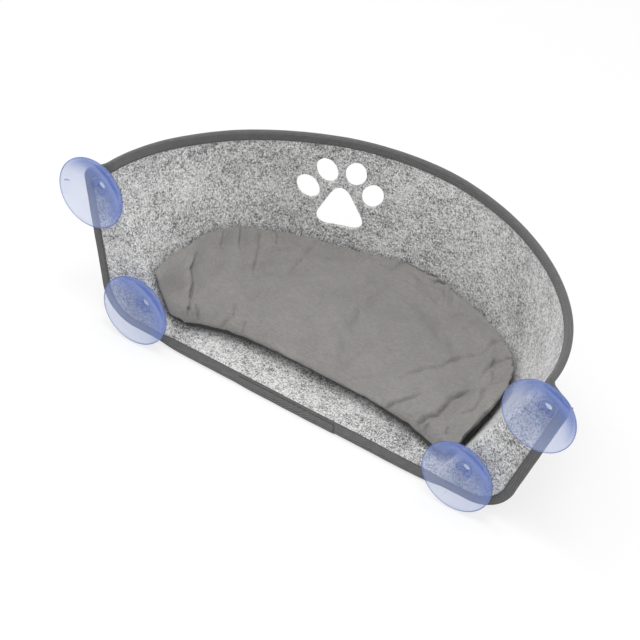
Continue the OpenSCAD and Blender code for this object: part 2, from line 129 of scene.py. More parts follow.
class Finish:
    """A material and its node tree."""

    def __init__(self, name, roughness, sheen=0.0):
        self.material = bpy.data.materials.new(name)
        self.material.use_nodes = True
        self.tree = self.material.node_tree
        self.shader = self.tree.nodes["Principled BSDF"]
        self.shader.inputs["Roughness"].default_value = roughness
        self.shader.inputs["Sheen Weight"].default_value = sheen
        self.shader.inputs["Sheen Roughness"].default_value = 0.6

    def node(self, kind, settings, sockets, out=0):
        """A node of a kind, with its settings set first, and the values or links of its sockets."""
        made = self.tree.nodes.new(kind)
        for name, value in settings.items():
            if name == "stops":
                ramp = made.color_ramp
                while len(ramp.elements) < len(value):
                    ramp.elements.new(0.5)
                for stop, (place, colour) in zip(ramp.elements, value):
                    stop.position, stop.color = place, colour
            else:
                setattr(made, name, value)
        for name, value in sockets.items():
            if isinstance(value, Field):
                self.tree.links.new(value.socket, made.inputs[name])
            else:
                made.inputs[name].default_value = value
        return Field(self, made.outputs[out])

    def place(self):
        return self.node("ShaderNodeTexCoord", {}, {}, "Object")

    def along(self):
        return self.node("ShaderNodeTexCoord", {}, {}, "UV")

    def measure(self, name):
        """A value that the piece keeps on its own points."""
        return self.node("ShaderNodeAttribute", {"attribute_name": name}, {}, "Fac")

    def turned(self, place, turn, stretch):
        """Places turned and stretched, so that a pattern on them runs another way."""
        return self.node("ShaderNodeMapping", {}, {0: place, "Rotation": turn, "Scale": stretch})

    def cloud(self, place, scale, detail=2.0, roughness=0.5, distortion=0.0):
        return self.node("ShaderNodeTexNoise", {}, {"Vector": place, "Scale": scale, "Detail": detail,
                                                    "Roughness": roughness, "Distortion": distortion})

    def part(self, place, axis):
        return self.node("ShaderNodeSeparateXYZ", {}, {0: place}, axis)

    def ramp(self, value, *stops):
        return self.node("ShaderNodeValToRGB", {"stops": [(p, (*c, 1)) for p, c in stops]}, {0: value})

    def mixed(self, share, first, second):
        """The first colour, changed to the second by the share."""
        return self.node("ShaderNodeMix", {"data_type": "RGBA"}, {0: share, 6: first, 7: second}, 2)

    def feed(self, name, value):
        self.tree.links.new(value.socket, self.shader.inputs[name])

    def bumps(self, *layers):
        """Layers of (height, strength, depth in metres)."""
        normal = None
        for height, strength, depth in layers:
            sockets = {"Height": height, "Strength": strength, "Distance": depth}
            if normal:
                sockets["Normal"] = normal
            normal = self.node("ShaderNodeBump", {}, sockets)
        self.feed("Normal", normal)


def grey(value, warm=0.0):
    return (value * (1 + warm), value, value * (1 - warm))


def felt_finish():
    """Pressed felt: pale and dark fibres laid every way."""
    f = Finish("pressed_felt", roughness=0.95, sheen=0.15)
    place = f.place()
    short = f.cloud(f.turned(place, (0.3, 0.2, 0.4), (1, 1, 0.6)),
                    scale=760, detail=2.5, roughness=0.65, distortion=0.9)
    crossed = f.cloud(f.turned(place, (1.2, 0.5, 1.3), (1, 0.5, 1)),
                      scale=540, detail=2.0, roughness=0.6, distortion=1.4)
    strands = f.cloud(f.turned(place, (0.7, 1.3, 2.2), (0.35, 1, 1)),
                      scale=430, detail=1.0, roughness=0.5, distortion=2.0)
    clumps = f.cloud(place, 95, 3, 0.6)
    patches = f.cloud(place, 19, 3)
    fibres = (short - 0.5) * 2.9 + (crossed - 0.5) * 2.0 + (strands - 0.5) * 1.3
    tone = (fibres + (clumps - 0.5) * 0.7 + (patches - 0.5) * 0.7 + 0.56).limited()
    f.feed("Base Color", f.ramp(tone, (0.0, grey(0.09)), (0.25, grey(0.25, 0.003)),
                                (0.52, grey(0.51, 0.004)), (1.0, grey(0.86, 0.006))))
    fuzz = f.cloud(place, 1500, 3, 0.7)
    f.bumps((short + crossed, 0.5, 0.7 * mm), (fuzz, 0.35, 0.3 * mm))
    return f.material


rib_pitch = 2.3 * mm
twill_pitch_along, twill_pitch_across = 2.5 * mm, 1.9 * mm
tape_grey = 0.088


def tape_finish():
    """Ribbed tape, with painted shade in the grooves between its ribs. Its own map runs along the tape and
    across it, in metres.
    """
    f = Finish("ribbed_tape", roughness=0.85, sheen=0.15)
    place = f.along()
    length, width = f.part(place, "X"), f.part(place, "Y")
    ribs = (width * (full_turn / rib_pitch)).waves()
    twill = (length * (full_turn / twill_pitch_along) + width * (full_turn / twill_pitch_across)).waves()
    # Painted shade: the grooves between the ribs are darkened in colour, and also pressed in by the bump
    groove_relief_and_shade = f.ramp(ribs, (0.0, (0, 0, 0)), (0.3, (1, 1, 1)))
    wear = f.cloud(f.place(), 210, 4, 0.6)
    tone = (groove_relief_and_shade * 0.22 + twill * 0.44 + wear * 0.34).limited()
    f.feed("Base Color", f.ramp(tone, (0.12, grey(tape_grey * 0.3)), (0.5, grey(tape_grey)),
                                (0.95, grey(tape_grey * 2.3))))
    f.bumps((groove_relief_and_shade, 0.5, 0.5 * mm), (twill, 0.5, 0.35 * mm))
    return f.material


weave_pitch = 0.9 * mm
# Over what height the painted shade below the seam gives way to the cloth's own colour
painted_shade_fade = 0.8 * mm


def cloth_finish():
    """Plain woven cotton with fine wrinkles. Below the seam the colour is near black: painted shade, which
    stands in for the shadow under the cushion's edge.
    """
    f = Finish("plain_cotton", roughness=0.88, sheen=0.10)
    place = f.place()
    warp = (f.part(place, "X") * (full_turn / weave_pitch)).waves()
    weft = (f.part(place, "Y") * (full_turn / weave_pitch)).waves()
    worn = f.cloud(place, 30, 4, 0.6)
    slubs = f.cloud(f.turned(place, (0, 0, 0.4), (0.25, 1, 1)), 620, 2)
    lint = f.cloud(place, 980, 2)
    tone = (worn * 0.22 + lint * 0.36 + slubs * 0.26 + warp * weft * 0.16).limited()
    top = f.ramp(tone, (0.28, (0.180, 0.172, 0.165)), (0.5, (0.262, 0.253, 0.242)),
                 (0.72, (0.352, 0.341, 0.327)))
    # Painted shade: near-black cloth below the seam, where the shadow under the cushion's edge falls
    bottom = f.ramp(tone, (0.28, grey(0.018)), (0.72, grey(0.045)))
    over = (f.measure("over_seam") * (1 / painted_shade_fade) + 0.2).limited()
    f.feed("Base Color", f.mixed(over, bottom, top))
    folds = f.cloud(f.turned(place, (0, 0, 0.9), (1.0, 0.3, 1.0)),
                    scale=44, detail=3, roughness=0.55, distortion=0.8)
    wrinkles = f.cloud(f.turned(place, (0, 0, 2.3), (1.0, 0.35, 1.0)),
                       scale=110, detail=3, roughness=0.6, distortion=0.6)
    f.bumps((folds, 0.8, 2.2 * mm), (wrinkles, 0.5, 0.8 * mm), (warp + weft + lint * 2.0, 0.3, 0.14 * mm))
    return f.material


ring_pitch = 2.1 * mm
hub_shade_r, hub_shade_fade = 9.8 * mm, 1.6 * mm
rim_shade_r, rim_shade_fade = 36.5 * mm, 0.9 * mm


def cup_finish():
    """Clear soft plastic with a blue tint, deeper where the wall is thick or is seen edge on."""
    f = Finish("clear_blue_plastic", roughness=0.09)
    steep = f.node("ShaderNodeLayerWeight", {}, {"Blend": 0.5}, "Facing")
    radius = f.measure("radius")
    hub = ((hub_shade_r - radius) * (1 / hub_shade_fade)).limited()
    rim = ((radius - rim_shade_r) * (1 / rim_shade_fade)).limited()
    rings = (radius * (full_turn / ring_pitch) + 0.8).waves()
    haze = f.cloud(f.place(), 45, 3)
    depth = (steep + hub * (rings * 0.20 - 0.02) + rim * 0.24).limited()
    f.feed("Base Color", f.ramp(depth, (0.0, (0.50, 0.60, 0.88)), (0.28, (0.34, 0.45, 0.80)),
                                (0.44, (0.12, 0.23, 0.64)), (0.62, (0.05, 0.14, 0.56)),
                                (1.0, (0.03, 0.08, 0.38))))
    cover = f.ramp(depth, (0.0, grey(0.26)), (0.28, grey(0.30)), (0.42, grey(0.46)),
                   (0.56, grey(0.80)), (1.0, grey(0.94)))
    f.feed("Alpha", (cover + (haze - 0.5) * 0.14).limited())
    f.shader.inputs["Specular IOR Level"].default_value = 0.7
    f.shader.inputs["Coat Weight"].default_value = 0.8
    f.shader.inputs["Coat Roughness"].default_value = 0.03
    f.bumps((rings * hub, 0.6, 0.5 * mm))
    return f.material


def thread_and_shadow_line_finish():
    """Twisted sewing thread, dark. The same colour makes the dark line along the tape's overlap, which is
    painted shadow.
    """
    f = Finish("thread_and_painted_shadow_line", roughness=0.7, sheen=0.1)
    twist = f.cloud(f.place(), 1400, 2)
    f.feed("Base Color", f.ramp(twist, (0.3, grey(0.018)), (0.7, grey(0.06))))
    f.bumps((twist, 0.4, 0.1 * mm))
    return f.material


def floor_finish():
    """A pale floor that shows as white, with the object's soft shadow on it."""
    f = Finish("pale_floor", roughness=0.9)
    path = {name: f.node("ShaderNodeLightPath", {}, {}, name)
            for name in ("Is Camera Ray", "Is Glossy Ray", "Is Transmission Ray")}
    seen = (path["Is Camera Ray"] + path["Is Glossy Ray"] + path["Is Transmission Ray"]).limited()
    f.shader.inputs["Specular IOR Level"].default_value = 0.0
    f.shader.inputs["Emission Strength"].default_value = 0.70
    f.feed("Base Color", f.mixed(seen, (0.80, 0.80, 0.80, 1), (0.30, 0.30, 0.30, 1)))
    f.feed("Emission Color", f.mixed(seen, (0, 0, 0, 1), (1, 1, 1, 1)))
    return f.material


# Pieces: each is a mesh in the shared frame, made with bmesh

sharp_angle, cup_sharp_angle, overlap_sharp_angle = math.radians(38), math.radians(50), math.radians(60)


def write_mesh(bm, mesh, smooth=True, sharp=sharp_angle):
    """Writes the shape to the mesh, with a sharp edge where two faces meet at more than the sharp angle."""
    for face in bm.faces:
        face.smooth = smooth
    for edge in bm.edges:
        edge.smooth = len(edge.link_faces) != 2 or edge.calc_face_angle(0) < sharp
    bm.to_mesh(mesh)
    bm.free()


def add_piece(name, bm, material, smooth=True, sharp=sharp_angle):
    mesh = bpy.data.meshes.new(name)
    write_mesh(bm, mesh, smooth, sharp)
    piece = bpy.data.objects.new(name, mesh)
    scene.collection.objects.link(piece)
    if material:
        mesh.materials.append(material)
    return piece


def settle(piece):
    """Applies the piece's modifiers."""
    graph = bpy.context.evaluated_depsgraph_get()
    made = bpy.data.meshes.new_from_object(piece.evaluated_get(graph), depsgraph=graph)
    old = piece.data
    piece.modifiers.clear()
    piece.data = made
    bpy.data.meshes.remove(old)


def combine(piece, tool, operation):
    """Cuts the tool from the piece or joins it on, and removes the tool."""
    change = piece.modifiers.new("change", "BOOLEAN")
    change.operation, change.solver, change.object = operation, "EXACT", tool
    settle(piece)
    bpy.data.objects.remove(tool)


# The felt sheet: the same sizes and rules as the part's source, in millimetres

felt_t = 4.0
wing_y = 17.0
bottom_drop = 87.5
fold_low_x, fold_high_x = 150.0, 242.0
rim_side_z, rim_back_z = 81.0, 88.5
rim_depth = 211.0
back_r = 42.0
floor_tilt, back_lean = 4.0, 1.5
fold_r, fold_low_r = 8.0, 19.0
base_corner_x, base_corner_r = 224.5, 44.0
ear_x, ear_z, ear_r = 268.5, 62.0, 10.0
floor_rows, curve_rows, wall_rows = 8, 7, 8
rows = floor_rows + curve_rows + wall_rows
base_rows, ear_rows = 7, 6
floor_end_share, curve_end_share = 0.15, 0.38
plan_low_power, plan_high_power = 3.3, 1.88
crowd_power, floor_power = 1.3, 1.1


def sind(a):
    return math.sin(math.radians(a))


def cosd(a):
    return math.cos(math.radians(a))


def clamp01(v):
    return min(1.0, max(0.0, v))


wall_angle = 90 - back_lean
turn_angle = wall_angle - floor_tilt
free_depth = rim_depth - back_r * (sind(wall_angle) - sind(floor_tilt))
free_rise = rim_back_z + bottom_drop - back_r * (cosd(floor_tilt) - cosd(wall_angle))
floor_l = (free_depth * sind(wall_angle) - free_rise * cosd(wall_angle)) / sind(turn_angle)
wall_l = (free_rise * cosd(floor_tilt) - free_depth * sind(floor_tilt)) / sind(turn_angle)


def row_parts(r):
    return (clamp01(r / floor_rows), clamp01((r - floor_rows) / curve_rows),
            clamp01((r - floor_rows - curve_rows) / wall_rows))


def middle(r):
    """Depth behind the wings and height of the middle section at row r."""
    on_floor, on_curve, on_wall = row_parts(r)
    a = floor_tilt + turn_angle * on_curve
    return (floor_l * cosd(floor_tilt) * on_floor + back_r * (sind(a) - sind(floor_tilt))
            + wall_l * cosd(wall_angle) * on_wall,
            -bottom_drop + floor_l * sind(floor_tilt) * on_floor + back_r * (cosd(floor_tilt) - cosd(a))
            + wall_l * sind(wall_angle) * on_wall)


def fold_share(r):
    """How far up the fold row r meets it, from 0 at the bottom to 1 at the rim."""
    on_floor, on_curve, on_wall = row_parts(r)
    return (floor_end_share * on_floor ** floor_power + (curve_end_share - floor_end_share) * on_curve
            + (1 - curve_end_share) * on_wall)


def fold_corner(r):
    """Where row r would meet the wing's plane, were the fold not round."""
    share = fold_share(r)
    return Vector((fold_low_x + (fold_high_x - fold_low_x) * share, wing_y,
                   -bottom_drop + (rim_side_z + bottom_drop) * share))


def plan_power(r):
    """The power of the rounded shape that row r has in plan."""
    return plan_low_power + (plan_high_power - plan_low_power) * fold_share(r)


def height_at(r, c):
    """Height of row r at a share c of the way from its middle to the fold."""
    mid_z, side = middle(r)[1], 2 * c ** 2 - c ** 4
    return mid_z + (fold_corner(r).z - mid_z) * side


def bowl_at(r, d):
    """The right half of row r at a share d of its depth."""
    p = plan_power(r)
    c = max(0.0, 1 - d ** p) ** (1 / p)
    return Vector((fold_corner(r).x * c, wing_y + middle(r)[0] * d, height_at(r, c)))


def corner_arc(corner, way_in, way_out, r, share):
    """The point at a share of the arc that rounds a corner with a radius r."""
    turn = way_in.angle(way_out)
    left = (way_out - way_in * way_in.dot(way_out)).normalized()
    a = turn * share
    return corner - way_in * r * math.tan(turn / 2) + left * r * (1 - math.cos(a)) + way_in * r * math.sin(a)


def wing_edge(r):
    """Where row r meets the wing's outer edge, with its round base corner and ear."""
    base, ear = Vector((base_corner_x, wing_y, -bottom_drop)), Vector((ear_x, wing_y, ear_z))
    level, upward = Vector((1, 0, 0)), (ear - base).normalized()
    inward = (Vector((fold_high_x, wing_y, rim_side_z)) - ear).normalized()
    if r <= base_rows:
        return corner_arc(base, level, upward, base_corner_r, r / base_rows)
    if r >= rows - ear_rows:
        return corner_arc(ear, upward, inward, ear_r, 1 - (rows - r) / ear_rows)
    start = corner_arc(base, level, upward, base_corner_r, 1)
    end = corner_arc(ear, upward, inward, ear_r, 0)
    return start.lerp(end, (r - base_rows) / (rows - ear_rows - base_rows))


fold_line = (fold_corner(rows) - fold_corner(0)).normalized()


bowl_count, fold_count, wing_count = 44, 10, 10
floor_lines, curve_lines, wall_lines = 36, 18, 28
row_halvings, height_halvings = 30, 26


def half_row(r):
    """Points of the right half of row r, from the middle of the back to the wing's edge."""
    corner, edge = fold_corner(r), wing_edge(r)
    width = fold_r + (fold_low_r - fold_r) * (1 - clamp01(fold_share(r) / floor_end_share))
    way = (edge - corner).normalized()
    start = corner + way * width / way.cross(fold_line).length
    low, high = 0.0, 1.0
    for _ in range(row_halvings):
        d = (low + high) / 2
        if (bowl_at(r, d) - corner).length > width:
            high = d
        else:
            low = d
    first = math.asin(low ** (1 / crowd_power))
    points = [bowl_at(r, 1.0)]
    for k in range(bowl_count - 1, -1, -1):
        points.append(bowl_at(r, math.sin(first + (math.pi / 2 - first) * k / bowl_count) ** crowd_power))
    inner = points[-1]
    a, b = inner - corner, start - corner
    middle_weight = math.sin(a.angle(b) / 2)
    for k in range(1, fold_count):
        t = k / fold_count
        m, n, o = 2 * t * (1 - t) * middle_weight, (1 - t) ** 2, t * t
        points.append((inner * n + corner * m + start * o) / (n + m + o))
    return points + [start.lerp(edge, k / wing_count) for k in range(wing_count + 1)]


row_places = ([k * floor_rows / floor_lines for k in range(floor_lines)]
              + [floor_rows + k * curve_rows / curve_lines for k in range(curve_lines)]
              + [rows - wall_rows + k * wall_rows / wall_lines for k in range(wall_lines + 1)])
half_rows = [half_row(r) for r in row_places]
sheet = [[Vector((-p.x, p.y, p.z)) for p in reversed(h[1:])] + h for h in half_rows]
last_row, last_column = len(sheet) - 1, len(sheet[0]) - 1
middle_column = last_column // 2


def sheet_normal(i, j):
    if abs(j - middle_column) >= bowl_count + fold_count:
        return Vector((0, 1, 0))
    across = sheet[i][min(last_column, j + 1)] - sheet[i][max(0, j - 1)]
    down = sheet[max(0, i - 1)][j] - sheet[min(last_row, i + 1)][j]
    return across.cross(down).normalized()


outward = [[sheet_normal(i, j) for j in range(last_column + 1)] for i in range(last_row + 1)]


def grid_piece(bm, columns, lines, point):
    """A grid with its vertices moved to point(line, column). Returns the line and column of each vertex."""
    made = bmesh.ops.create_grid(bm, x_segments=columns, y_segments=lines, size=1)
    places = {}
    for v in made["verts"]:
        places[v] = (round((v.co.y + 1) / 2 * lines), round((v.co.x + 1) / 2 * columns))
    for v, (i, j) in places.items():
        v.co = point(i, j)
    return places


def felt_face_tree():
    """The felt's inner face, with its normals into the bowl, for finding the nearest place on it."""
    bm = bmesh.new()
    grid_piece(bm, last_column, last_row, lambda i, j: sheet[i][j] * mm)
    bmesh.ops.recalc_face_normals(bm, faces=bm.faces)
    if sum(f.normal.z * f.calc_area() for f in bm.faces) < 0:
        bmesh.ops.reverse_faces(bm, faces=bm.faces)
    tree = BVHTree.FromBMesh(bm)
    bm.free()
    return tree


paw_x, paw_z, paw_turn, paw_tilt = -89.0, 2.0, 18.0, 5.0
pad_w, pad_h, pad_round, pad_low_share = 64.0, 58.0, 20.9, 0.36
toe_w, toe_l = 22.0, 30.0
toe_places = [(-0.52, 0.41, 25), (-0.23, 0.78, 14), (0.23, 0.78, -14), (0.52, 0.41, -25)]
cup_places = {"upper_left_cup": (-248.0, 54.5, 5), "upper_right_cup": (248.0, 54.5, 38),
              "lower_left_cup": (-184.0, -54.5, -25), "lower_right_cup": (184.0, -54.5, 70)}
hole_r = 4.58
wall_reach, wing_reach = 60.0, 9.0
pad_round_steps, toe_steps, hole_steps = 14, 40, 48


def add_cutters():
    """The paw's pad and toes, and the four neck holes, as closed solids that pass through the felt."""
    bm = bmesh.new()
    across = (abs(paw_x) / fold_high_x) ** plan_high_power
    wall_y = wing_y + rim_depth * (1 - across) ** (1 / plan_high_power)
    to_wall = (Matrix.Translation((paw_x, wall_y, paw_z)) @ Matrix.Rotation(math.radians(paw_turn), 4, "Z")
               @ Matrix.Rotation(math.pi / 2, 4, "X") @ Matrix.Rotation(math.radians(paw_tilt), 4, "Z"))

    def punched(verts, face, reach):
        """Makes a flat outline a solid that reaches as far to both sides of it."""
        bmesh.ops.translate(bm, verts=verts, vec=(0, 0, -reach))
        grown = bmesh.ops.extrude_face_region(bm, geom=[face])
        far = [g for g in grown["geom"] if isinstance(g, bmesh.types.BMVert)]
        bmesh.ops.translate(bm, verts=far, vec=(0, 0, 2 * reach))
        return verts + far

    pad_low = -pad_h * pad_low_share
    corners = [bm.verts.new(p) for p in ((0, pad_low + pad_h, 0), (-pad_w / 2, pad_low, 0),
                                         (pad_w / 2, pad_low, 0))]
    bm.faces.new(corners)
    bmesh.ops.bevel(bm, geom=corners, offset=pad_round, affect="VERTICES", segments=pad_round_steps,
                    profile=0.5, material=-1)
    pad = bm.faces[:][0]
    bmesh.ops.transform(bm, matrix=to_wall, verts=punched(list(pad.verts), pad, wall_reach))
    for x_share, z_share, turn in toe_places:
        toe = bmesh.ops.create_circle(bm, cap_ends=True, segments=toe_steps, radius=1)["verts"]
        bmesh.ops.scale(bm, verts=toe, vec=(toe_w / 2, toe_l / 2, 1))
        bmesh.ops.rotate(bm, verts=toe, matrix=Matrix.Rotation(math.radians(turn), 3, "Z"))
        bmesh.ops.translate(bm, verts=toe, vec=(x_share * pad_w, z_share * pad_h, 0))
        face = toe[0].link_faces[0]
        bmesh.ops.transform(bm, matrix=to_wall, verts=punched(toe, face, wall_reach))
    for x, z, _ in cup_places.values():
        hole = bmesh.ops.create_circle(bm, cap_ends=True, segments=hole_steps, radius=hole_r)["verts"]
        face = hole[0].link_faces[0]
        to_wing = Matrix.Translation((x, wing_y, z)) @ Matrix.Rotation(math.pi / 2, 4, "X")
        bmesh.ops.transform(bm, matrix=to_wing, verts=punched(hole, face, wing_reach))
    bmesh.ops.recalc_face_normals(bm, faces=bm.faces)
    bmesh.ops.scale(bm, verts=bm.verts, vec=(mm, mm, mm))
    return add_piece("cutters", bm, None)


def add_felt(material):
    bm = bmesh.new()
    places = grid_piece(bm, last_column, last_row, lambda i, j: sheet[i][j] * mm)
    back = bmesh.ops.duplicate(bm, geom=bm.verts[:] + bm.edges[:] + bm.faces[:])
    twins = back["vert_map"]
    for v, (i, j) in places.items():
        twins[v].co = (sheet[i][j] + outward[i][j] * felt_t) * mm
    bmesh.ops.bridge_loops(bm, edges=[e for e in bm.edges if e.is_boundary])
    bmesh.ops.recalc_face_normals(bm, faces=bm.faces)
    felt = add_piece("felt_bowl", bm, material)
    combine(felt, add_cutters(), "DIFFERENCE")
    bm = bmesh.new()
    bm.from_mesh(felt.data)
    write_mesh(bm, felt.data)
    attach(felt, "shell")
    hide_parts("felt_shell")


# The binding: a ribbed tape folded over the whole edge

tape_w, tape_t, tape_gap = 8.3, 0.9, 0.15
tape_bevel_w, tape_bevel_t = 0.35, 0.25
tape_fold_steps, tape_fold_crown = 8, 0.62
tape_wavers = [(0.45, 0.018, 3), (0.2, 0.07, 8)]
EdgeFrame = namedtuple("EdgeFrame", "row column point out deep length")
edge_path = ([(0, j) for j in range(last_column + 1)] + [(i, last_column) for i in range(1, last_row + 1)]
             + [(last_row, j) for j in range(last_column - 1, -1, -1)]
             + [(i, 0) for i in range(last_row - 1, 0, -1)])


def edge_frames():
    """Frames along the edge: row and column, point, the way out of the sheet and the way through it, and the
    length so far. Returns them with the whole length."""
    frames, length = [], 0.0
    count = len(edge_path)
    for k, (i, j) in enumerate(edge_path):
        before, after = edge_path[k - 1], edge_path[(k + 1) % count]
        here = sheet[i][j]
        along = (sheet[after[0]][after[1]] - sheet[before[0]][before[1]]).normalized()
        deep = outward[i][j] - along * outward[i][j].dot(along)
        deep.normalize()
        frames.append(EdgeFrame(i, j, here, deep.cross(along), deep, length))
        length += (sheet[after[0]][after[1]] - here).length
    return frames, length


def walked(i, j, step, w, depth):
    """Point at a distance w from the edge down column j, at a depth from the felt's inner face."""
    while True:
        a, b = sheet[i][j], sheet[i + step][j]
        part = w / (b - a).length
        if part <= 1:
            return a.lerp(b, part) + outward[i][j].lerp(outward[i + step][j], part) * depth
        w -= (b - a).length
        i += step


def tape_point(edge, w, depth):
    """Point at a slightly wavering distance w out from the edge, at a depth from the felt's inner face."""
    i, j, here, out, deep, length = edge
    w += sum(size * noise.noise((length * scale, 0, seed)) for size, scale, seed in tape_wavers)
    on_bowl = abs(j - middle_column) <= bowl_count + fold_count
    if w < 0 and on_bowl and i in (0, last_row):
        return walked(i, j, 1 if i == 0 else -1, -w, depth)
    return here + out * w + deep * depth


def tape_section():
    """Outer side of the folded tape: distance out from the edge, and depth from the felt's inner face."""
    top = -(tape_gap + tape_t)
    flat = [(-tape_w, -tape_gap), (-tape_w, top + tape_bevel_t), (-tape_w + tape_bevel_w, top)]
    flat += [(-tape_w + share * tape_w, top) for share in (0.16, 0.3, 0.45, 0.6, 0.75, 0.9)]
    half = felt_t / 2
    bend = []
    for s in range(tape_fold_steps + 1):
        a = math.pi * s / tape_fold_steps
        bend.append(((half - top) * tape_fold_crown * math.sin(a), half - (half - top) * math.cos(a)))
    return flat + bend + [(w, felt_t - d) for w, d in reversed(flat)]


def map_tape(bm, places, lengths, widths):
    """Gives the tape its map: each vertex's length along the tape and width across it."""
    uv = bm.loops.layers.uv.new("tape")
    for face in bm.faces:
        for loop in face.loops:
            s, k = places[loop.vert]
            loop[uv].uv = (lengths[k] * mm, widths[s] * mm)


def add_binding(frames, total, material):
    section = tape_section()
    bm = bmesh.new()
    count = len(frames)
    places = grid_piece(bm, count, len(section) - 1,
                        lambda s, k: tape_point(frames[k % count], *section[s]) * mm)
    across = [0.0]
    for a, b in zip(section, section[1:]):
        across.append(across[-1] + math.dist(a, b))
    map_tape(bm, places, [f.length for f in frames] + [total], across)
    bmesh.ops.remove_doubles(bm, verts=bm.verts, dist=touching)
    binding = add_piece("edge_tape", bm, material)
    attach(binding, "shell")
    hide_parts("edge_binding")


overlap_end_x, overlap_l, overlap_lift = 45.0, 118.0, 0.7
overlap_side, overlap_tip = 3.6, 5.0
overlap_edge_lift, overlap_rise_share, overlap_steps, overlap_pitch = 0.05, 1 / 3, 60, 1.1
# Size and steps of the dark tube that paints the shadow line along the overlap's edge
shadow_line_r, shadow_line_lift, shadow_line_start_share, shadow_line_sides = 0.42, 0.3, 0.05, 6
shadow_line_steps, shadow_line_end_steps = 70, 24


def overlap_point(chosen, section, s, t):
    """Point s of the section at share t of the overlap's length, and the way out of the tape there."""
    place = (len(chosen) - 1) * min(t, 1.0)
    a = int(min(place, len(chosen) - 2))
    low = int(min(s, len(section) - 2))
    (w0, d0), (w1, d1) = section[low], section[low + 1]
    w, d = w0 + (w1 - w0) * (s - low), d0 + (d1 - d0) * (s - low)
    p = tape_point(chosen[a], w, d).lerp(tape_point(chosen[a + 1], w, d), place - a)
    along = chosen[a].out.cross(chosen[a].deep)
    way = p - tape_point(chosen[a], min(w, -1.0), felt_t / 2)
    way -= along * way.dot(along)
    return p, way.normalized()


def add_overlap(frames, material, shadow_line_finish):
    """Where the tape's two ends meet on the bottom edge, one lies over the other and ends in a round tip. A
    thin dark tube along its edge and round its tip is painted shadow: it stands in for the shadow line under
    the raised edge.
    """
    chosen = [f for f in frames if f.row == 0 and overlap_end_x - overlap_l <= f.point.x <= overlap_end_x]
    chosen.sort(key=lambda f: f.point.x)
    section = [(w, d) for w, d in tape_section() if w > -overlap_side or d > felt_t]
    last = len(section) - 1

    def tip(s):
        """Share of the overlap's length at which its round tip ends, at point s of the section."""
        across = abs(s - last / 2) / (last / 2)
        return 1 - overlap_tip / overlap_l * (1 - math.sqrt(max(0.0, 1 - across ** 2.2)))

    def point(s, k):
        t = k / overlap_steps
        p, way = overlap_point(chosen, section, s, t * tip(s))
        lift = overlap_lift * min(1.0, t / overlap_rise_share)
        if s in (0, last) or k == overlap_steps:
            lift = overlap_edge_lift
        return (p + way * lift) * mm

    bm = bmesh.new()
    places = grid_piece(bm, overlap_steps, last, point)
    map_tape(bm, places, [overlap_l * k / overlap_steps for k in range(overlap_steps + 1)],
             [s * overlap_pitch for s in range(last + 1)])
    tab = add_piece("tape_overlap", bm, material, sharp=overlap_sharp_angle)
    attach(tab, "shell")

    # The painted shadow line: a dark tube along the overlap's edge and round its tip
    stops = [(0, shadow_line_start_share + (1 - shadow_line_start_share) * n / shadow_line_steps * tip(0))
             for n in range(shadow_line_steps + 1)]
    for n in range(1, shadow_line_end_steps + 1):
        s = last * n / shadow_line_end_steps
        stops.append((s, tip(s)))
    line = []
    for s, t in stops:
        p, way = overlap_point(chosen, section, s, t)
        line.append(p + way * shadow_line_lift)

    def shadow_line_point(s, k):
        before, after = line[max(0, k - 1)], line[min(len(line) - 1, k + 1)]
        ahead = (after - before).normalized()
        side = ahead.orthogonal().normalized()
        a = full_turn * s / shadow_line_sides
        return (line[k] + (side * math.cos(a) + ahead.cross(side) * math.sin(a)) * shadow_line_r) * mm

    bm = bmesh.new()
    grid_piece(bm, len(line) - 1, shadow_line_sides, shadow_line_point)
    bmesh.ops.remove_doubles(bm, verts=bm.verts, dist=touching)
    bmesh.ops.recalc_face_normals(bm, faces=bm.faces)
    thread_and_shadow_line = add_piece("overlap_shadow_line", bm, shadow_line_finish)
    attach(thread_and_shadow_line, "shell")


stitch_l, stitch_gap, stitch_r, stitch_inset = 3.0, 1.5, 0.3, 6.9
stitch_lift, shortest_span = 0.12, 0.2


def add_stitches(frames, total, material):
    """The row of stitches along the tape's inner edge, on both faces of the felt."""
    knot = bmesh.new()
    bmesh.ops.create_uvsphere(knot, u_segments=6, v_segments=4, radius=1)
    stitch = bpy.data.meshes.new("stitch")
    knot.to_mesh(stitch)
    knot.free()
    bm = bmesh.new()
    lengths = [f.length for f in frames] + [total]
    count = int(total / (stitch_l + stitch_gap))
    over = tape_gap + tape_t + stitch_lift
    size = Matrix.Diagonal((stitch_r * mm, stitch_r * mm, stitch_l / 2 * mm, 1))
    k = 0
    for n in range(count):
        target = total * n / count
        while lengths[k + 1] < target:
            k += 1
        share = (target - lengths[k]) / (lengths[k + 1] - lengths[k])
        a, b = frames[k], frames[(k + 1) % len(frames)]
        for depth in (-over, felt_t + over):
            start, end = tape_point(a, -stitch_inset, depth), tape_point(b, -stitch_inset, depth)
            if (end - start).length < shortest_span:
                continue
            turn = (end - start).to_track_quat("Z", "Y").to_matrix().to_4x4()
            placed = Matrix.Translation(start.lerp(end, share) * mm) @ turn @ size
            stitch.transform(placed)
            bm.from_mesh(stitch)
            stitch.transform(placed.inverted())
    row = add_piece("tape_stitches", bm, material)
    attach(row, "shell")


# The suction cups

cup_r, lip_w, cup_rim_t, cup_hollow, cup_mid_t = 37.5, 3.0, 1.4, 8.5, 4.2
hub_r, neck_r, button_r, button_t = 8.0, 4.5, 7.0, 4.0
hub_end, button_start = 16.8, 21.2
dimple_r, dimple_depth = 3.5, 1.5
mark_l, mark_w, mark_h = 5.0, 1.0, 0.7
dish_steps, cup_steps, back_power = 26, 96, 1.7
hub_start = cup_hollow + cup_mid_t


def hollow_at(r):
    """Distance of the dish's hollow face from the glass."""
    return cup_hollow * (1 - (r / (cup_r - lip_w)) ** 2)


def back_at(r):
    """Distance of the dish's back from the glass."""
    return cup_rim_t + (hub_start - cup_rim_t) * (1 - ((r - hub_r) / (cup_r - hub_r)) ** back_power)


